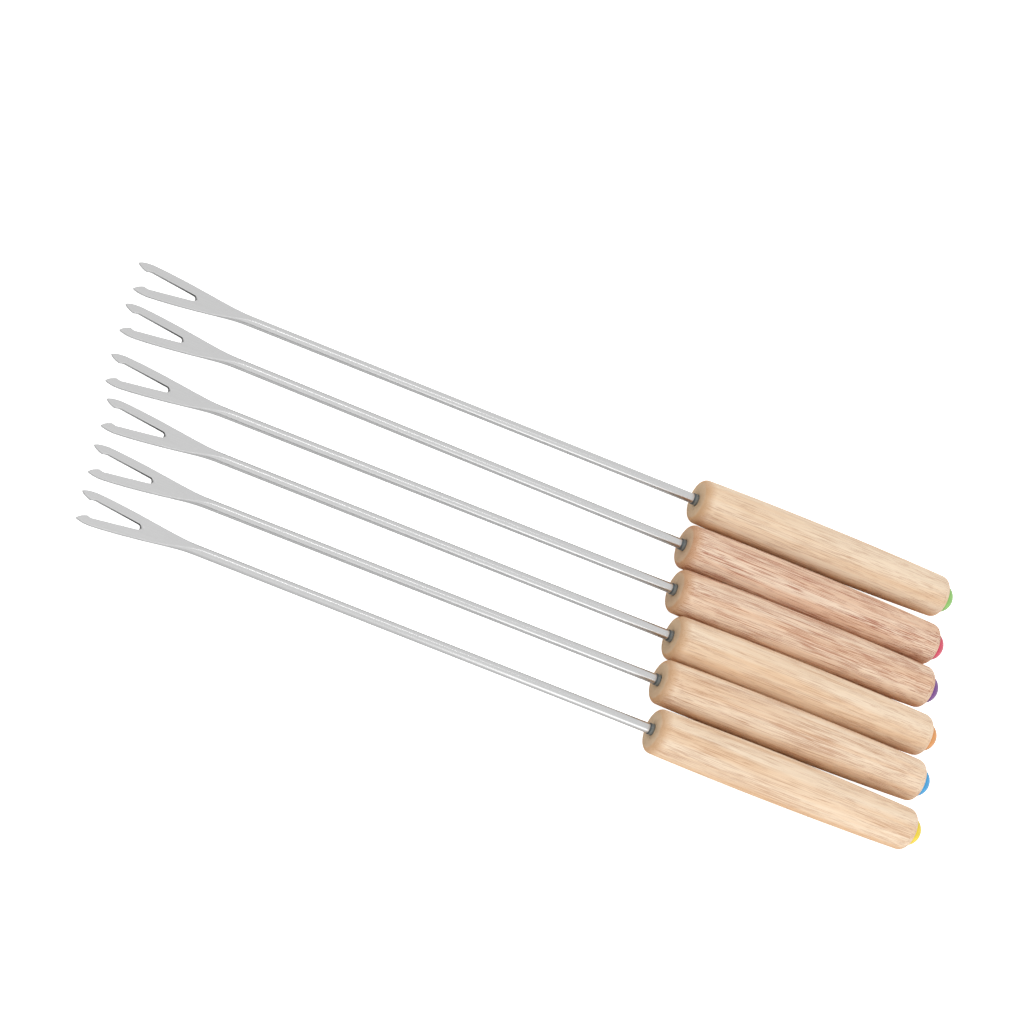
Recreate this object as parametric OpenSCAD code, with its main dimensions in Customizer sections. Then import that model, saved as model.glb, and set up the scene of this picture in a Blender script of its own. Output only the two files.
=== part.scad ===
// A set of six two-tined roasting forks, laid side by side as they are sold and stored.
// Each fork is a steel rod with a flattened head, a dark ferrule, a turned wooden handle
// and a coloured button in the handle's end that says whose fork it is.
// One fork is drawn along +X, from its tine tips at x = 0 to its button, around the rod's axis.

/* [Fork] */
// Length of one fork, from the tine tips to the top of the button
fork_len = 240.5; // [200:0.5:320]
// Length of bare rod and head in front of the handle
reach = 161; // [110:1:180]
// Diameter of the round rod
rod_d = 2.7; // [2.4:0.1:3]

/* [Head] */
// Thickness of the flattened head
head_t = 0.8; // [0.6:0.1:1.2]
// Widest part of the head, over both tines
head_w = 8.9; // [8:0.1:10]
// Distance between the two points
tip_gap = 7.4; // [6.4:0.1:7.6]
// Gap between the tines at their barbs
barb_gap = 4.3; // [4:0.1:5]
// Depth of the notch between the tines
notch_l = 16.5; // [15:0.5:17]
// Width of the notch's rounded root
notch_w = 1.5; // [1.2:0.1:2]
// Distance from the points to where the head is as narrow as the rod
taper_l = 29; // [26:0.5:34]
// Length over which the flat head turns into the round rod
blend_l = 13; // [10:0.5:13]

/* [Handle] */
// Diameter of the handle at its front face
front_d = 11.8; // [10.6:0.1:12]
// Diameter of the handle at its belly
belly_d = 12.5; // [12.1:0.1:12.6]
// Diameter of the handle at its butt
butt_d = 11.1; // [9.5:0.1:11.5]
// Radius of the handle's front edge
front_edge = 1.6; // [0.5:0.1:1.8]
// Radius of the handle's rounded butt
butt_edge = 1.7; // [1:0.1:2.2]
// Depth to which the rod's tang is glued into the handle
tang_l = 45; // [25:1:52]

/* [Ferrule] */
// Outer diameter of the ferrule
ferrule_d = 3.0; // [3:0.1:3.6]
// Length of ferrule that shows in front of the handle
ferrule_out = 1.2; // [0.8:0.1:3]
// Length of ferrule that sits in the handle
ferrule_in = 3.6; // [2:0.1:6]

/* [Button] */
// Diameter of the button
button_d = 7.4; // [5.5:0.1:7.4]
// Height of the button's straight edge
button_edge = 0.6; // [0.3:0.1:1]
// Height of the button's dome above its edge
button_dome = 2.4; // [1.5:0.1:2.6]
// Diameter of the peg behind the button
peg_d = 4; // [3:0.1:4.5]
// Length of the peg behind the button
peg_l = 6; // [4:0.5:8]

/* [Hidden] */

// How each fork lies in the row: [shift along +X, place along +Y, turn about +Z in degrees].
// The forks were laid by hand, so they aren't quite parallel. No two of them touch.
// The last two numbers say how much longer this fork's reach and this whole fork are than usual,
// because hand-fitted handles differ a little.
GREEN  = [ 0.7,  32.9,  0.32,  0.3, -1.0];
RED    = [-0.3,  19.6, -0.22,  0.0, -0.7];
PURPLE = [-0.9,   6.2,  0.28,  0.2,  0.2];
ORANGE = [ 0.6,  -6.4, -0.04,  0.0,  0.3];
BLUE   = [ 0.1, -19.4, -0.05, -0.9,  0.7];
YELLOW = [-0.2, -32.8, -0.37,  0.0,  0.6];

// Glue clearance around the tang, the ferrule and the peg, on the diameter
glue = 0.06;

front_r = front_d / 2;
belly_r = belly_d / 2;
butt_r = butt_d / 2;
// How far back from the handle's front face its belly is thickest, as a share of its length
front_share = sqrt(belly_r - front_r) / (sqrt(belly_r - front_r) + sqrt(belly_r - butt_r));

// Where one fork's handle begins and where its wood ends
function front_of(fork) = reach + fork[3];
function wood_end_of(fork) = fork_len + fork[4] - button_edge - button_dome;
// A fork rests on its tine tips and on the handle's front edge, so it leans down to the tips
function lean_of(fork) =
    let (rest_x = front_of(fork) + front_edge, rest_r = front_r - front_edge - head_t / 2)
    atan(rest_r / rest_x) + asin(front_edge / norm([rest_x, rest_r]));

// Points on a circular arc about [x, y], and on a curve that bends towards its control point
function arc(x, y, r, a0, a1, n) =
    [for (i = [0:n]) [x + r * cos(a0 + (a1 - a0) * i / n), y + r * sin(a0 + (a1 - a0) * i / n)]];
function bend(p, c, q, n) =
    [for (i = [0:n]) let (t = i / n) (1 - t) * (1 - t) * p + 2 * t * (1 - t) * c + t * t * q];
function mirrored(points) = [for (i = [len(points) - 1:-1:0]) [points[i].x, -points[i].y]];

// ---- steel rod with a flattened, two-tined head ----

// Where the flat plate ends and the blend into the rod begins
plate_l = taper_l - blend_l * 2 / 3;
// Half width of the head behind its shoulders: it narrows slowly along the tines, faster behind them
shoulder_x = 4;
function half_width(x) =
    let (t = min((x - shoulder_x) / (taper_l - shoulder_x), 1))
    rod_d / 2 + (head_w - rod_d) / 2 * (1 - 0.48 * t - 0.89 * t * t + 0.37 * t * t * t);
// Outer side of one tine, from its point back past the end of the plate
tine_outer = concat(
    bend([0, tip_gap / 2], [1.4, head_w / 2], [shoulder_x, head_w / 2], 6),
    [for (i = [1:10]) let (x = shoulder_x + (taper_l - shoulder_x) * i / 10) [x, half_width(x)]]);
// Inner side of one tine, from the root of the notch out to its point, with the barb
root_r = notch_w / 3;
tine_inner = concat(
    arc(notch_l - root_r, notch_w / 2 - root_r, root_r, 0, 90, 5),
    [[5, barb_gap / 2 + 0.1]],
    bend([3.9, barb_gap / 2 + 0.25], [3.3, barb_gap / 2 + 0.2], [2.9, barb_gap / 2], 3),
    [[2.5, barb_gap / 2], [1.3, barb_gap / 2 + 0.5], [0, tip_gap / 2]]);
half_head = concat(tine_inner, tine_outer);

module head_plate() {
    translate([0, 0, -head_t / 2])
        linear_extrude(head_t)
            intersection() {
                polygon(concat(half_head, mirrored(half_head)));
                translate([-1, -head_w])
                    square([plate_l + 1, 2 * head_w]);
            }
}

// One cross-section of the blend, squarer where it is flat and round where it meets the rod
module blend_slice(x, w, t) {
    power = 2 + 1.5 * (1 - t / rod_d);
    translate([x, 0, 0])
        rotate([90, 0, 90])
            linear_extrude(0.01)
                polygon([for (a = [0:15:345])
                    [w / 2 * sign(cos(a)) * pow(abs(cos(a)), 2 / power),
                     t / 2 * sign(sin(a)) * pow(abs(sin(a)), 2 / power)]]);
}

module head_blend() {
    steps = 4;
    for (i = [0:steps - 1])
        hull()
            for (j = [i, i + 1]) {
                x = plate_l + blend_l * j / steps;
                rise = (1 - cos(180 * j / steps)) / 2;
                blend_slice(x, 2 * half_width(x), head_t + (rod_d - head_t) * rise);
            }
}

module fork_rod(fork) {
    round_from = plate_l + blend_l;
    color([0.79, 0.79, 0.78]) {
        head_plate();
        head_blend();
        translate([round_from, 0, 0])
            rotate([0, 90, 0])
                cylinder(d = rod_d, h = front_of(fork) + tang_l - round_from, $fn = 48);
    }
}

// ---- dark ferrule that closes the joint between rod and wood ----

module ferrule(fork) {
    color([0.30, 0.33, 0.36])
        translate([front_of(fork) - ferrule_out, 0, 0])
            rotate([0, 90, 0])
                difference() {
                    cylinder(d = ferrule_d, h = ferrule_out + ferrule_in, $fn = 48);
                    translate([0, 0, -1])
                        cylinder(d = rod_d + glue, h = ferrule_out + ferrule_in + 2, $fn = 48);
                }
}

// ---- turned wooden handle, bored for the tang, the ferrule and the button's peg ----

module handle(fork) {
    front = front_of(fork);
    wood_end = wood_end_of(fork);
    belly_x = front + (wood_end - front) * front_share;
    // The belly is one long arc between the diameters at the two ends
    belly_arc = pow(belly_x - front, 2) / (2 * (belly_r - front_r));
    function belly_at(x) = belly_r - pow(x - belly_x, 2) / (2 * belly_arc);
    round_end = butt_edge * 1.25;
    outline = concat(
        [[0, front]],
        [for (p = arc(front + front_edge, front_r - front_edge, front_edge, 180, 92, 6)) [p.y, p.x]],
        [for (i = [1:14]) let (x = front + front_edge + (wood_end - front - front_edge - round_end) * i / 14)
            [belly_at(x), x]],
        [for (i = [1:8]) let (a = 90 * i / 8)
            [belly_at(wood_end - round_end) - butt_edge * (1 - cos(a)), wood_end - round_end * (1 - sin(a))]],
        [[0, wood_end]]);
    color([0.90, 0.78, 0.62])
        difference() {
            rotate([0, 90, 0])
                rotate([0, 0, 90])
                    rotate_extrude($fn = 96)
                        polygon(outline);
            translate([front - 1, 0, 0])
                rotate([0, 90, 0])
                    cylinder(d = rod_d + glue, h = tang_l + 1, $fn = 48);
            translate([front - 1, 0, 0])
                rotate([0, 90, 0])
                    cylinder(d = ferrule_d + glue, h = ferrule_in + 1, $fn = 48);
            translate([wood_end - peg_l - 1, 0, 0])
                rotate([0, 90, 0])
                    cylinder(d = peg_d + glue, h = peg_l + 2, $fn = 48);
        }
}

// ---- coloured button: a domed head and a peg ----

module end_button(fork, tint) {
    dome_r = (pow(button_d / 2, 2) + pow(button_dome, 2)) / (2 * button_dome);
    half_angle = asin(button_d / 2 / dome_r);
    profile = concat(
        [[0, -peg_l], [peg_d / 2 - 0.4, -peg_l], [peg_d / 2, 0.4 - peg_l], [peg_d / 2, 0], [button_d / 2, 0]],
        [for (p = arc(0, button_edge + button_dome - dome_r, dome_r, 90 - half_angle, 90, 8)) p]);
    color(tint)
        translate([wood_end_of(fork), 0, 0])
            rotate([0, 90, 0])
                rotate_extrude($fn = 64)
                    polygon(profile);
}

// ---- one fork's place in the row ----

module lay(fork) {
    lean = lean_of(fork);
    translate([fork[0], fork[1], 0])
        rotate([0, 0, fork[2]])
            translate([-fork_len / 2, 0, head_t / 2 * cos(lean)])
                rotate([0, -lean, 0])
                    children();
}

lay(GREEN) fork_rod(GREEN);  // green_rod
lay(GREEN) ferrule(GREEN);  // green_ferrule
lay(GREEN) handle(GREEN);  // green_handle
lay(GREEN) end_button(GREEN, [0.55, 0.80, 0.33]);  // green_button

lay(RED) fork_rod(RED);  // red_rod
lay(RED) ferrule(RED);  // red_ferrule
lay(RED) handle(RED);  // red_handle
lay(RED) end_button(RED, [0.90, 0.25, 0.36]);  // red_button

lay(PURPLE) fork_rod(PURPLE);  // purple_rod
lay(PURPLE) ferrule(PURPLE);  // purple_ferrule
lay(PURPLE) handle(PURPLE);  // purple_handle
lay(PURPLE) end_button(PURPLE, [0.53, 0.30, 0.67]);  // purple_button

lay(ORANGE) fork_rod(ORANGE);  // orange_rod
lay(ORANGE) ferrule(ORANGE);  // orange_ferrule
lay(ORANGE) handle(ORANGE);  // orange_handle
lay(ORANGE) end_button(ORANGE, [0.95, 0.64, 0.33]);  // orange_button

lay(BLUE) fork_rod(BLUE);  // blue_rod
lay(BLUE) ferrule(BLUE);  // blue_ferrule
lay(BLUE) handle(BLUE);  // blue_handle
lay(BLUE) end_button(BLUE, [0.20, 0.65, 0.90]);  // blue_button

lay(YELLOW) fork_rod(YELLOW);  // yellow_rod
lay(YELLOW) ferrule(YELLOW);  // yellow_ferrule
lay(YELLOW) handle(YELLOW);  // yellow_handle
lay(YELLOW) end_button(YELLOW, [0.97, 0.85, 0.22]);  // yellow_button
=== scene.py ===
"""Looks of a set of six roasting forks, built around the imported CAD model.

Every fork has four pieces: a steel rod with a flattened two-tined head, a ferrule, a turned wooden
handle and a domed button. Shapes are made in millimetres, along +X: the rod with its tine tips at
x = 0, the ferrule and the handle with the handle's front face at x = 0, and the button with the face
of the handle's butt at x = 0. Each is then laid where the CAD model has that piece.
"""
import math
import random

import bmesh
import bpy
import numpy as np
from mathutils import Matrix, Vector


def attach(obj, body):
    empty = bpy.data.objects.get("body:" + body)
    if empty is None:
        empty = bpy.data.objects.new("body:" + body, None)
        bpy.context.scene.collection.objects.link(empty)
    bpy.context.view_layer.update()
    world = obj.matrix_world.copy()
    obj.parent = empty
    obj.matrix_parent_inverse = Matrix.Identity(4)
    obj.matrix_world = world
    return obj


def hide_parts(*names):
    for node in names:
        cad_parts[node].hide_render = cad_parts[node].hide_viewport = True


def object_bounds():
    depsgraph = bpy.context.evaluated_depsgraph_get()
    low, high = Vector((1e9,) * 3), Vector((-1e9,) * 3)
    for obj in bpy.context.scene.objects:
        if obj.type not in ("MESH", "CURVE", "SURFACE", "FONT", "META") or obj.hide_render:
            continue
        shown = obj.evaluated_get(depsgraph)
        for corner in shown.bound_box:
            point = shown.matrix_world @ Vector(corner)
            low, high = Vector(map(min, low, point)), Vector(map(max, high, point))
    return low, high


MM = 0.001
COLOURS = ("green", "red", "purple", "orange", "blue", "yellow")

# Button plastics, as linear colours
BUTTON_TINTS = {
    "green": (0.28, 0.60, 0.14),
    "red": (0.72, 0.060, 0.125),
    "purple": (0.20, 0.055, 0.29),
    "orange": (0.80, 0.34, 0.10),
    "blue": (0.030, 0.36, 0.74),
    "yellow": (0.90, 0.68, 0.030),
}
# Wood of each handle, from 0 to 1: how pink it is, how strong its grain is, how strong the painted warm
# bounce light on its lower side is
WOODS = {
    "green": (0.30, 0.35, 1.0),
    "red": (0.90, 1.00, 1.0),
    "purple": (0.75, 0.80, 1.0),
    "orange": (0.35, 0.30, 1.0),
    "blue": (0.45, 0.55, 1.0),
    "yellow": (0.35, 0.40, 0.4),
}

# Sizes in millimetres, as in the CAD source
ROD_R = 1.35
TANG_L = 45.0
HEAD_T = 0.8
HEAD_W = 8.9
TIP_GAP = 7.4
BARB_GAP = 4.3
NOTCH_L = 16.5
NOTCH_W = 1.5
SHOULDER_X = 4.0
TAPER_L = 29.0
BLEND_L = 13.0
FRONT_R = 5.9
BELLY_R = 6.25
BUTT_R = 5.55
FRONT_EDGE = 1.6
BUTT_EDGE = 1.7
BUTT_EDGE_L = BUTT_EDGE * 1.25
FERRULE_R = 1.5
FERRULE_OUT = 1.2
FERRULE_IN = 3.6
BUTTON_R = 3.7
BUTTON_EDGE = 0.6
BUTTON_DOME = 2.4
PEG_R = 2.0
PEG_L = 6.0
GAP = 0.03

# Where the head's outline has settled on the rod's
NECK_L = TAPER_L + 2.5
# Chamfers of the tang and the peg
TANG_CHAMFER = 0.4
PEG_CHAMFER = 0.4
# The tang's bore is this much deeper than the tang, and the bevelled mouth of the ferrule's bore is
# this deep and this wide
BORE_SPARE = 0.2
MOUTH_DEPTH = 0.2
MOUTH_WIDTH = 0.22
# Radius of the ferrule's front rim, and the ferrule's slack on the rod
FERRULE_RIM = 0.1
FERRULE_BORE_GAP = 0.02

# Faces between the middle or inner side and the outer side of the head, and where their corners lie
CROSS = 16
SHARES = [(1 - math.cos(math.pi * j / CROSS)) / 2 for j in range(CROSS + 1)]
# Sides of the turned pieces
HANDLE_SIDES = 128
FERRULE_SIDES = 64
BUTTON_SIDES = 96
# Mesh attribute that holds each point's place in its piece's own millimetres
OWN_COORDS = "own_mm"

# Camera: azimuth, elevation and roll in degrees, then metres and the lens in millimetres
CAMERA_ANGLES = (-41.00, 53.96, 57.90)
CAMERA_AIM = (-0.00790, 0.01050, 0.003)
CAMERA_DISTANCE = 1.3
CAMERA_LENS = 181.3
SENSOR_WIDTH = 36
# Brightness of the surroundings and the lights, where 1 shows as white, and the table's own grey
WORLD_LIGHT = 1.0
SIDE_LIGHT = 1.1
OVERHEAD_LIGHT = 2.6
PANEL_LIGHT = 0.95
TABLE_GREY = 0.85
# Side of the table in metres, and how far it lies below the forks in millimetres
TABLE_SIZE = 3.0
TABLE_GAP = 0.02


# ---------------------------------------------------------------- frame

def node_points(node):
    """The different vertices of a CAD node, in millimetres, one to a row."""
    points = np.array([v.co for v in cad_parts[node].data.vertices]) / MM
    return np.unique(points.round(4), axis=0)


def fork_frame(colour):
    """Matrix from a fork's own millimetres to the row frame, from the long axis of its CAD rod."""
    points = node_points(colour + "_rod")
    centre = points.mean(0)
    axis = np.linalg.svd(points - centre, full_matrices=False)[2][0]
    along = Vector(axis if axis[0] > 0 else -axis).normalized()
    tip = ((points - centre) @ np.array(along)).min()
    across = Vector((0, 0, 1)).cross(along).normalized()
    up = along.cross(across)
    turn = Matrix((along, across, up)).transposed().to_4x4()
    place = Matrix.Translation((Vector(centre) + along * tip) * MM)
    return place @ turn @ Matrix.Scale(MM, 4)


def span_of(node, place):
    """Least and greatest x of a CAD node in its fork's own millimetres."""
    turn = np.array(place.inverted())
    along = node_points(node) * MM @ turn[0, :3] + turn[0, 3]
    return along.min(), along.max()


# ---------------------------------------------------------------- shapes

def bend(p, c, q, n):
    """n points from p towards q on the curve that bends towards c. q itself is left out."""
    p, c, q = np.array(p), np.array(c), np.array(q)
    return [(1 - t) ** 2 * p + 2 * t * (1 - t) * c + t * t * q for t in np.arange(n) / n]


def arc(x, y, r, a0, a1, n):
    """n + 1 points on a circular arc about (x, y), angles in degrees."""
    return [np.array((x + r * math.cos(a), y + r * math.sin(a)))
            for a in np.radians(np.linspace(a0, a1, n + 1))]


def lengths(path):
    """Distance along a path at each of its points."""
    steps = np.linalg.norm(np.diff(np.array(path), axis=0), axis=1)
    return np.concatenate([[0], np.cumsum(steps)])


def resample(path, where):
    """Points on a path at the given distances along it."""
    path, at = np.array(path), lengths(path)
    return np.stack([np.interp(where, at, path[:, k]) for k in range(path.shape[1])], 1)


def distance_to(path, x, y):
    """Shortest distance from (x, y) to a path."""
    path = np.array(path)
    a, b = path[:-1], path[1:]
    ab = b - a
    p = np.array((x, y)) - a
    t = np.clip((p * ab).sum(1) / np.maximum((ab * ab).sum(1), 1e-12), 0, 1)
    return np.linalg.norm(p - ab * t[:, None], axis=1).min()


def mesh_from(name, bm):
    """Closes, orients and smooths a bmesh in millimetres, and returns it as a mesh.

    The mesh keeps its own millimetres for the materials, because it is laid in the row afterwards.
    """
    bmesh.ops.remove_doubles(bm, verts=bm.verts, dist=1e-4)
    bmesh.ops.recalc_face_normals(bm, faces=bm.faces)
    mesh = bpy.data.meshes.new(name)
    bm.to_mesh(mesh)
    bm.free()
    mesh.shade_smooth()
    coords = [c for v in mesh.vertices for c in v.co]
    mesh.attributes.new(OWN_COORDS, "FLOAT_VECTOR", "POINT").data.foreach_set("vector", coords)
    return mesh


def lathe(name, profile, sides):
    """A solid of revolution about X from an outline (x, r) that starts and ends on the axis."""
    bm = bmesh.new()
    turns = [2 * math.pi * k / sides for k in range(sides)]
    rings = [[bm.verts.new((x, r * math.cos(a), r * math.sin(a))) for a in turns] for x, r in profile]
    for low, high in zip(rings, rings[1:]):
        for k in range(sides):
            m = (k + 1) % sides
            bm.faces.new((low[k], low[m], high[m], high[k]))
    return mesh_from(name, bm)


def half_width(x):
    """Half width of the head behind its shoulders, which runs softly into the round rod."""
    t = (x - SHOULDER_X) / (TAPER_L - SHOULDER_X)
    taper = ROD_R + (HEAD_W / 2 - ROD_R) * (1 - 0.48 * t - 0.89 * t ** 2 + 0.37 * t ** 3)
    soft = 0.35
    return max(taper, ROD_R) + max(soft - abs(taper - ROD_R), 0) ** 2 / (4 * soft)


def head_outlines():
    """Inner and outer side of one tine, from its point to where the head is as narrow as the rod.

    Both have the same number of points. The inner side runs round the notch to the middle of its root,
    and then along the fork's middle line. The third value is the number of points up to the root.
    """
    tip = (0, TIP_GAP / 2)
    barb = BARB_GAP / 2
    root_r = NOTCH_W / 3
    outer = bend(tip, (1.4, HEAD_W / 2), (SHOULDER_X, HEAD_W / 2), 10)
    outer += [np.array((x, half_width(x))) for x in np.linspace(SHOULDER_X, NECK_L, 40)]
    inner = bend(tip, (0.7, barb + 0.8), (1.3, barb + 0.5), 4)
    inner += bend((1.3, barb + 0.5), (1.9, barb + 0.22), (2.5, barb), 5)
    inner += bend((2.5, barb), (2.72, barb - 0.08), (2.9, barb), 3)
    inner += bend((2.9, barb), (3.3, barb + 0.2), (3.9, barb + 0.25), 5)
    inner += bend((3.9, barb + 0.25), (4.4, barb + 0.24), (5, barb + 0.1), 3)
    inner += bend((5, barb + 0.1), (10.5, (barb + NOTCH_W / 2) / 2 + 0.07),
                  (NOTCH_L - root_r, NOTCH_W / 2), 14)
    inner += arc(NOTCH_L - root_r, NOTCH_W / 2 - root_r, root_r, 90, 0, 8)
    inner.append(np.array((NOTCH_L, 0)))
    to_root = len(inner)
    share = lengths(inner) / lengths(inner)[-1]
    split = np.interp(NOTCH_L + 0.3, [p[0] for p in outer], lengths(outer))
    outer_front = resample(outer, share * split)
    neck = np.linspace(0, 1, 25)[1:]
    outer_neck = resample(outer, split + neck * (lengths(outer)[-1] - split))
    inner_neck = [np.array((NOTCH_L + (NECK_L - NOTCH_L) * t, 0)) for t in neck]
    return inner + inner_neck, list(outer_front) + list(outer_neck), to_root


def surface_height(x, edge):
    """Half thickness of the head at a distance edge from its nearest side, x from the tine tips."""
    start = TAPER_L - BLEND_L * 2 / 3
    t = min(max((x - start) / BLEND_L, 0), 1)
    rise = (1 - math.cos(math.pi * t)) / 2
    flat = HEAD_T / 2 + (ROD_R - HEAD_T / 2) * rise
    flank = flat * (1 + 0.35 * (1 - rise))
    round_w = 0.24 * (1 - t) + ROD_R * t
    s = min(edge / round_w, 1)
    side = flank * math.sqrt(1 - (1 - s) ** 2)
    soft = 0.05 * (1 - rise) + 1e-6
    share = min(max(0.5 + 0.5 * (side - flat) / soft, 0), 1)
    return min(side + (flat - side) * share - soft * share * (1 - share), flat)


def head_rows():
    """Rows of points (x, y, z) over one quarter of the head and neck, from the tine's point backwards."""
    inner, outer, to_root = head_outlines()
    edges = [np.array(outer), np.array(inner[:to_root])]
    rows = []
    for a, b in zip(inner, outer):
        row = []
        for s in SHARES:
            x, y = a + (b - a) * s
            row.append((x, y, surface_height(x, min(distance_to(e, x, y) for e in edges))))
        rows.append(row)
    return rows


def rod_mesh(head, end):
    """The steel rod: flattened head with two barbed tines, round shaft, and the tang up to x = end."""
    settle = np.linspace(NECK_L + 0.4, NECK_L + 3, 7)
    shaft = np.linspace(NECK_L + 5, end - TANG_CHAMFER, 24)
    rows = head + [[(x, ROD_R * s, surface_height(x, ROD_R * (1 - s))) for s in SHARES]
                   for x in (*settle, *shaft)]
    tip_r = ROD_R - TANG_CHAMFER
    rows.append([(end, tip_r * s, tip_r * math.sqrt(1 - s * s)) for s in SHARES])
    rows.append([(end, 0, 0)] * len(SHARES))
    bm = bmesh.new()
    for side in (1, -1):
        for face in (1, -1):
            grid = [[bm.verts.new((x, y * side, z * face)) for x, y, z in row] for row in rows]
            for low, high in zip(grid, grid[1:]):
                for j in range(CROSS):
                    bm.faces.new((low[j], low[j + 1], high[j + 1], high[j]))
    return mesh_from("rod", bm)


def handle_mesh(length):
    """The turned handle, with its bores for the tang, the ferrule and the button's peg."""
    front_pull, butt_pull = math.sqrt(BELLY_R - FRONT_R), math.sqrt(BELLY_R - BUTT_R)
    belly_x = length * front_pull / (front_pull + butt_pull)

    def belly_at(x):
        return BELLY_R - (BELLY_R - FRONT_R) * ((x - belly_x) / belly_x) ** 2

    butt_x = length - BUTT_EDGE_L
    turns = np.radians(np.linspace(0, 90, 15)[1:])
    bore_l = TANG_L + BORE_SPARE
    outline = [(bore_l, 0), (bore_l, ROD_R + GAP), (FERRULE_IN, ROD_R + GAP), (FERRULE_IN, FERRULE_R + GAP)]
    outline += [(MOUTH_DEPTH, FERRULE_R + GAP), (0, FERRULE_R + MOUTH_WIDTH)]
    outline += arc(FRONT_EDGE, FRONT_R - FRONT_EDGE, FRONT_EDGE, 180, 93, 14)
    outline += [(x, belly_at(x)) for x in np.linspace(FRONT_EDGE, butt_x, 30)[1:]]
    outline += [(butt_x + BUTT_EDGE_L * math.sin(a), belly_at(butt_x) - BUTT_EDGE * (1 - math.cos(a)))
                for a in turns]
    outline += [(length, PEG_R + GAP), (length - PEG_L, PEG_R + GAP), (length - PEG_L, 0)]
    return lathe("handle", outline, HANDLE_SIDES)


def ferrule_mesh():
    """The ferrule: a tube with a softened front rim."""
    bore_r = ROD_R + FERRULE_BORE_GAP
    rim_x = FERRULE_RIM - FERRULE_OUT
    outline = [(FERRULE_IN, bore_r), (rim_x, bore_r)]
    outline += arc(rim_x, FERRULE_R - FERRULE_RIM, FERRULE_RIM, 180, 90, 5)
    outline += [(FERRULE_IN, FERRULE_R), (FERRULE_IN, bore_r)]
    return lathe("ferrule", outline, FERRULE_SIDES)


def button_mesh():
    """The button's domed head with a softened edge, and its peg."""
    dome_r = (BUTTON_R ** 2 + BUTTON_DOME ** 2) / (2 * BUTTON_DOME)
    half = math.degrees(math.asin(BUTTON_R / dome_r))
    outline = [(-PEG_L, 0), (-PEG_L, PEG_R - PEG_CHAMFER), (PEG_CHAMFER - PEG_L, PEG_R), (0, PEG_R)]
    outline += [(0, BUTTON_R - 0.12), (0.06, BUTTON_R - 0.02), (0.16, BUTTON_R)]
    outline += arc(BUTTON_EDGE + BUTTON_DOME - dome_r, 0, dome_r, half, 0, 20)
    return lathe("button", outline, BUTTON_SIDES)


# ---------------------------------------------------------------- materials

def new_material(name):
    """An empty material with a Principled shader. Returns the material, its node tree and the shader."""
    material = bpy.data.materials.new(name)
    material.use_nodes = True
    tree = material.node_tree
    return material, tree, tree.nodes["Principled BSDF"]


def add(tree, kind, inputs=None, **settings):
    """Adds a node. inputs maps socket names or numbers to a value or to an output socket."""
    node = tree.nodes.new("ShaderNode" + kind)
    for key, value in settings.items():
        setattr(node, key, value)
    for key, value in (inputs or {}).items():
        if isinstance(value, bpy.types.NodeSocket):
            tree.links.new(value, node.inputs[key])
        else:
            node.inputs[key].default_value = value
    return node


def own_coords(tree):
    """The point's place in its piece's own millimetres."""
    return add(tree, "Attribute", attribute_name=OWN_COORDS).outputs["Vector"]


def own_axis(tree, axis):
    """One of the own coordinates."""
    return add(tree, "SeparateXYZ", {0: own_coords(tree)}).outputs[axis]


def stretched(tree, scale, offset=(0, 0, 0), roll=0.0):
    """Own coordinates turned about the fork's axis and scaled."""
    turned = add(tree, "Mapping", {"Vector": own_coords(tree), "Rotation": (roll, 0, 0), "Location": offset})
    return add(tree, "Mapping", {"Vector": turned.outputs[0], "Scale": scale}).outputs[0]


def facing_parts(tree):
    """X, Y and Z of the surface's normal, in the row frame at rest."""
    return add(tree, "SeparateXYZ", {0: add(tree, "TexCoord").outputs["Normal"]}).outputs


def noise(tree, vector, detail=2.0, rough=0.5, distortion=0.0):
    """Soft noise, about 0.5 on average, with cells about as large as 1 of the vector."""
    inputs = {"Vector": vector, "Scale": 1.0, "Detail": detail, "Roughness": rough, "Distortion": distortion}
    return add(tree, "TexNoise", inputs).outputs["Fac"]


def ramp(tree, value, *stops):
    """A colour ramp. Each stop is (place, grey or colour)."""
    node = add(tree, "ValToRGB", {"Fac": value})
    elements = node.color_ramp.elements
    while len(elements) < len(stops):
        elements.new(0.5)
    for element, (place, colour) in zip(elements, stops):
        element.position = place
        element.color = (*colour, 1) if isinstance(colour, tuple) else (colour, colour, colour, 1)
    return node.outputs["Color"]


def remap(tree, value, low, high, to_low=0.0, to_high=1.0):
    """Maps low to high onto to_low to to_high, and holds the ends."""
    return add(tree, "MapRange", {0: value, 1: low, 2: high, 3: to_low, 4: to_high}).outputs[0]


def mix(tree, factor, a, b, blend_type="MIX"):
    """Blends colour b over colour a."""
    node = add(tree, "Mix", data_type="RGBA", blend_type=blend_type)
    for socket, value in zip((node.inputs[0], node.inputs[6], node.inputs[7]), (factor, a, b)):
        if isinstance(value, bpy.types.NodeSocket):
            tree.links.new(value, socket)
        else:
            socket.default_value = (*value, 1) if isinstance(value, tuple) else value
    return node.outputs[2]


def math_node(tree, operation, a, b=0.0, c=0.0):
    return add(tree, "Math", {0: a, 1: b, 2: c}, operation=operation).outputs[0]


def product(tree, first, *others):
    """All the values multiplied together."""
    for other in others:
        first = math_node(tree, "MULTIPLY", first, other)
    return first


def bump(tree, height, distance, strength):
    """A bumped normal, with the distance in millimetres."""
    inputs = {"Height": height, "Distance": distance * MM, "Strength": strength}
    return add(tree, "Bump", inputs).outputs["Normal"]


def between(a, b, share):
    """The colour that lies the given share of the way from a to b."""
    return tuple(p + (q - p) * share for p, q in zip(a, b))


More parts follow.
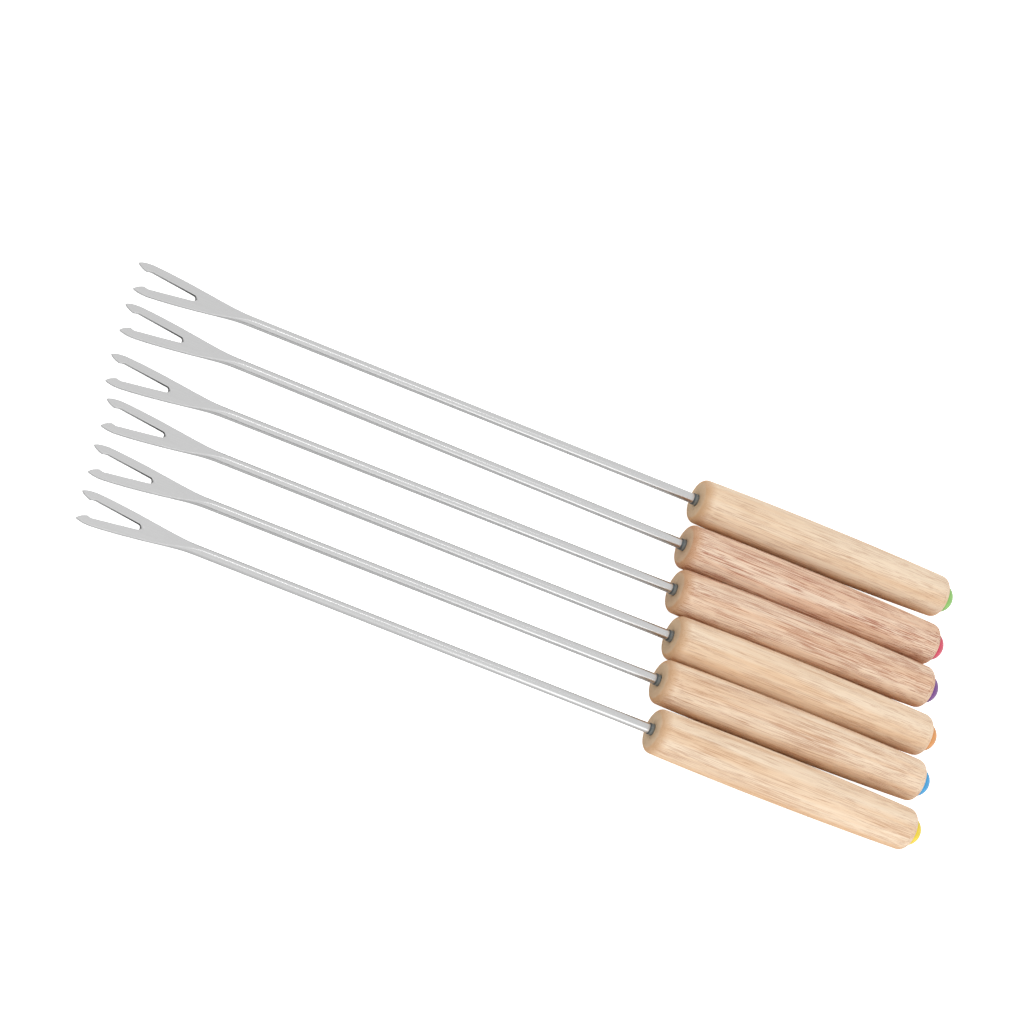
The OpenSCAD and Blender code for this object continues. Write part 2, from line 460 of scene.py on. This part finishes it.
def wood(colour, pink, strength, painted_bounce_warmth):
    """Pale hardwood, sanded and unvarnished: soft bands, long fine streaks and short dark pores."""
    material, tree, shader = new_material(colour + "_wood")
    dice = random.Random(colour)
    shift = (dice.uniform(-300, 300), dice.uniform(-40, 40), dice.uniform(-40, 40))
    roll = dice.uniform(0, 2 * math.pi)

    pale = between((0.88, 0.72, 0.53), (0.88, 0.68, 0.52), pink)
    deep = between((0.82, 0.60, 0.38), (0.79, 0.52, 0.36), pink)
    bands = noise(tree, stretched(tree, (0.012, 0.34, 0.34), shift, roll), 3, 0.55, 0.3)
    tone = ramp(tree, bands, (0.34, deep), (0.60, pale))
    fibres = noise(tree, stretched(tree, (0.10, 3.6, 3.6), shift, roll), 3, 0.6)
    fibre_shade = ramp(tree, fibres, (0.30, 1 - 0.13 * (0.4 + 0.6 * strength)), (0.60, 1.0))
    tone = mix(tree, 1.0, tone, fibre_shade, "MULTIPLY")

    crowd = noise(tree, stretched(tree, (0.05, 0.30, 0.30), shift[::-1], roll), 2, 0.5)
    reach = math_node(tree, "MULTIPLY_ADD", crowd, 0.34, -0.17 + 0.04 * strength)
    marks = []
    for scale, low, depth in (((0.030, 6.2, 6.2), 0.58, 0.9), ((0.12, 7.0, 7.0), 0.59, 1.0)):
        streaks = noise(tree, stretched(tree, scale, shift[::-1], roll), 2, 0.5)
        mark = ramp(tree, math_node(tree, "ADD", streaks, reach), (low, 0.0), (low + 0.09, 1.0))
        marks.append(product(tree, mark, depth))
    pore = math_node(tree, "MAXIMUM", *marks)
    pore_depth = product(tree, pore, 0.45 + 0.55 * strength)
    pore_tint = between((0.55, 0.33, 0.18), (0.42, 0.15, 0.09), pink)
    tone = mix(tree, pore_depth, tone, pore_tint)

    # A warmer tone on the lower side stands for the light that the handles throw on each other
    painted_bounce = remap(tree, facing_parts(tree)["Z"], 0.40, -0.15, 0.0, painted_bounce_warmth)
    tone = mix(tree, painted_bounce, tone, (0.97, 0.76, 0.54), "MULTIPLY")

    # The front edge is burnished tan by turning, and the front face shows grey-beige end grain
    along = own_axis(tree, "X")
    cloud = noise(tree, stretched(tree, (0.4, 0.4, 0.4), shift), 3)
    rub = math_node(tree, "MULTIPLY_ADD", cloud, 0.9, along)
    edge = remap(tree, rub, 0.3, 3.4)
    burnish = ramp(tree, edge, (0.0, 0.45), (0.12, 0.80), (0.45, 0.55), (1.0, 0.0))
    end_grain = ramp(tree, along, (0.0, 0.55), (0.12, 0.0))
    tone = mix(tree, burnish, tone, between((0.60, 0.38, 0.20), (0.54, 0.27, 0.13), pink))
    tone = mix(tree, end_grain, tone, (0.62, 0.49, 0.33))

    tree.links.new(tone, shader.inputs["Base Color"])
    rough = ramp(tree, fibres, (0.3, 0.66), (0.7, 0.54))
    tree.links.new(rough, shader.inputs["Roughness"])
    shader.inputs["Specular IOR Level"].default_value = 0.3
    grain = math_node(tree, "MULTIPLY_ADD", pore, -1.0, fibres)
    tree.links.new(bump(tree, grain, 0.05, 0.5), shader.inputs["Normal"])
    return material


def steel():
    """Stainless steel: smooth on the shaft, satin on the pressed head, with painted shade on the notch's
    walls.
    """
    material, tree, shader = new_material("steel")
    shader.inputs["Metallic"].default_value = 1.0
    lines = noise(tree, stretched(tree, (0.06, 14.0, 14.0)), 3, 0.6)
    cloud = noise(tree, stretched(tree, (0.12, 0.5, 0.5)), 2, 0.5)
    tint = ramp(tree, lines, (0.20, (0.55, 0.55, 0.55)), (0.80, (0.62, 0.62, 0.62)))

    place = add(tree, "SeparateXYZ", {0: own_coords(tree)}).outputs
    # Painted shade: the notch's inner walls are darkened, most towards its root, standing for the shadowed
    # floor they reflect
    facing = facing_parts(tree)
    side = math_node(tree, "SIGN", place["Y"])
    inwards = product(tree, facing["Y"], side, -1.0)
    forwards = product(tree, facing["X"], -1.0)
    wall = remap(tree, math_node(tree, "MAXIMUM", inwards, forwards), 0.35, 0.8)
    deep = remap(tree, place["X"], 3.0, 15.0, 0.15, 1.0)
    ahead = math_node(tree, "LESS_THAN", place["X"], NOTCH_L + 0.5)
    behind = math_node(tree, "GREATER_THAN", place["X"], SHOULDER_X)
    notch_painted_shade = product(tree, wall, deep, ahead, behind)
    tree.links.new(mix(tree, notch_painted_shade, tint, (0.13, 0.13, 0.13)), shader.inputs["Base Color"])

    pressed = remap(tree, place["X"], 22.0, 36.0, 0.30, 0.20)
    rough = math_node(tree, "MULTIPLY_ADD", cloud, 0.08, pressed)
    tree.links.new(rough, shader.inputs["Roughness"])
    tree.links.new(bump(tree, lines, 0.004, 0.5), shader.inputs["Normal"])
    return material


def dark_metal():
    """The ferrule: dark grey, satin, darker at its front rim, with faint rings from turning."""
    material, tree, shader = new_material("dark_metal")
    shader.inputs["Metallic"].default_value = 0.7
    rings = noise(tree, stretched(tree, (9.0, 0.3, 0.3)), 2, 0.5)
    tint = ramp(tree, rings, (0.3, (0.22, 0.27, 0.30)), (0.7, (0.34, 0.40, 0.43)))
    rim = remap(tree, own_axis(tree, "X"), 0.25 - FERRULE_OUT, 0.6 - FERRULE_OUT, 0.8, 0.0)
    tree.links.new(mix(tree, rim, tint, (0.05, 0.06, 0.07)), shader.inputs["Base Color"])
    tree.links.new(ramp(tree, rings, (0.3, 0.34), (0.7, 0.46)), shader.inputs["Roughness"])
    tree.links.new(bump(tree, rings, 0.01, 0.4), shader.inputs["Normal"])
    return material


def plastic(colour, tint):
    """Glossy moulded plastic, with the faint unevenness of a small moulding."""
    material, tree, shader = new_material(colour + "_plastic")
    cloud = noise(tree, stretched(tree, (0.45, 0.45, 0.45)), 3, 0.5)
    darker = tuple(0.82 * c for c in tint)
    tree.links.new(ramp(tree, cloud, (0.35, darker), (0.65, tint)), shader.inputs["Base Color"])
    tree.links.new(ramp(tree, cloud, (0.3, 0.22), (0.7, 0.30)), shader.inputs["Roughness"])
    peel = noise(tree, stretched(tree, (1.6, 1.6, 1.6)), 2, 0.5)
    tree.links.new(bump(tree, peel, 0.02, 0.35), shader.inputs["Normal"])
    return material


# ---------------------------------------------------------------- stage, light and camera

def floor_plane():
    """A white table just under the forks, which the camera sees as plain white."""
    bm = bmesh.new()
    bmesh.ops.create_grid(bm, x_segments=1, y_segments=1, size=TABLE_SIZE / 2)
    mesh = bpy.data.meshes.new("table")
    bm.to_mesh(mesh)
    bm.free()
    material, tree, shader = new_material("white_table")
    shader.inputs["Base Color"].default_value = (TABLE_GREY, TABLE_GREY, TABLE_GREY, 1)
    shader.inputs["Roughness"].default_value = 0.9
    shader.inputs["Specular IOR Level"].default_value = 0.1
    shader.inputs["Emission Color"].default_value = (1, 1, 1, 1)
    tree.links.new(add(tree, "LightPath").outputs["Is Camera Ray"], shader.inputs["Emission Strength"])
    mesh.materials.append(material)
    table = bpy.data.objects.new("table", mesh)
    table.location.z = cad_box[0].z - TABLE_GAP * MM
    bpy.context.scene.collection.objects.link(table)


def softbox(name, place, tilt, width, height, brightness):
    """A rectangular light, in metres, with its width along X, facing down and tilted towards +Y."""
    light = bpy.data.lights.new(name, "AREA")
    light.shape = "RECTANGLE"
    light.size = width
    light.size_y = height
    light.energy = brightness * math.pi * width * height
    lamp = bpy.data.objects.new(name, light)
    lamp.location = place
    lamp.rotation_euler.x = math.radians(tilt)
    lamp.visible_camera = False
    bpy.context.scene.collection.objects.link(lamp)


def studio():
    """White surroundings, a narrow softbox overhead that draws a line down each rod, and a low panel."""
    world = bpy.data.worlds.new("studio")
    world.use_nodes = True
    tree = world.node_tree
    background = tree.nodes["Background"]
    side = add(tree, "SeparateXYZ", {0: add(tree, "TexCoord").outputs["Generated"]}).outputs["Y"]
    shine = remap(tree, side, -0.2, -1.0, WORLD_LIGHT, SIDE_LIGHT)
    background.inputs["Color"].default_value = (1, 1, 1, 1)
    tree.links.new(shine, background.inputs["Strength"])
    bpy.context.scene.world = world
    softbox("overhead", (0.04, 0.0, 0.4), 0, 0.16, 0.045, OVERHEAD_LIGHT)
    softbox("side_panel", (0.16, -0.22, 0.07), 90, 0.20, 0.13, PANEL_LIGHT)


def photo_camera():
    """A long lens from the tines' side, turned so that the forks run down to the right."""
    azimuth, elevation, roll = (math.radians(a) for a in CAMERA_ANGLES)
    back = Vector((math.sin(azimuth) * math.cos(elevation), -math.cos(azimuth) * math.cos(elevation),
                   math.sin(elevation)))
    data = bpy.data.cameras.new("camera")
    data.sensor_width = SENSOR_WIDTH
    data.lens = CAMERA_LENS
    data.clip_start = 0.05
    data.clip_end = 20
    camera = bpy.data.objects.new("camera", data)
    camera.location = Vector(CAMERA_AIM) + back * CAMERA_DISTANCE
    camera.rotation_mode = "QUATERNION"
    turn = Matrix.Rotation(roll, 3, "Z").to_quaternion()
    camera.rotation_quaternion = (-back).to_track_quat("-Z", "Y") @ turn
    bpy.context.scene.collection.objects.link(camera)
    bpy.context.scene.camera = camera


# ---------------------------------------------------------------- the set

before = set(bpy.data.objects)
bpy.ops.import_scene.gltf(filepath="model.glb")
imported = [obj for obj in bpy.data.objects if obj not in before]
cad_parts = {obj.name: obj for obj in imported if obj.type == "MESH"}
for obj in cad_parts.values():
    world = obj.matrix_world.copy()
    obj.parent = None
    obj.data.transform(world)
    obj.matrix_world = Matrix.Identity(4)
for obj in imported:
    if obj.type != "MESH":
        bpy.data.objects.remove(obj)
cad_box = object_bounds()
photo_camera()
studio()
floor_plane()
bpy.context.scene.view_settings.view_transform = "Standard"

head = head_rows()
ferrule_shape, button_shape = ferrule_mesh(), button_mesh()
steel_finish, ferrule_finish = steel(), dark_metal()
for colour in COLOURS:
    place = fork_frame(colour)
    front, butt = span_of(colour + "_handle", place)
    pieces = {
        "rod": (rod_mesh(head, front + TANG_L), 0, "steel", steel_finish),
        "ferrule": (ferrule_shape.copy(), front, "ferrule", ferrule_finish),
        "handle": (handle_mesh(butt - front), front, "wood", wood(colour, *WOODS[colour])),
        "button": (button_shape.copy(), butt, colour + "_plastic", plastic(colour, BUTTON_TINTS[colour])),
    }
    for part, (mesh, x, slot, material) in pieces.items():
        mesh.materials.append(material)
        mesh.transform(place @ Matrix.Translation((x, 0, 0)))
        piece = bpy.data.objects.new(f"{colour}_fork_{part}", mesh)
        bpy.context.scene.collection.objects.link(piece)
        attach(piece, colour + "_fork")
        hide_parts(f"{colour}_{part}")
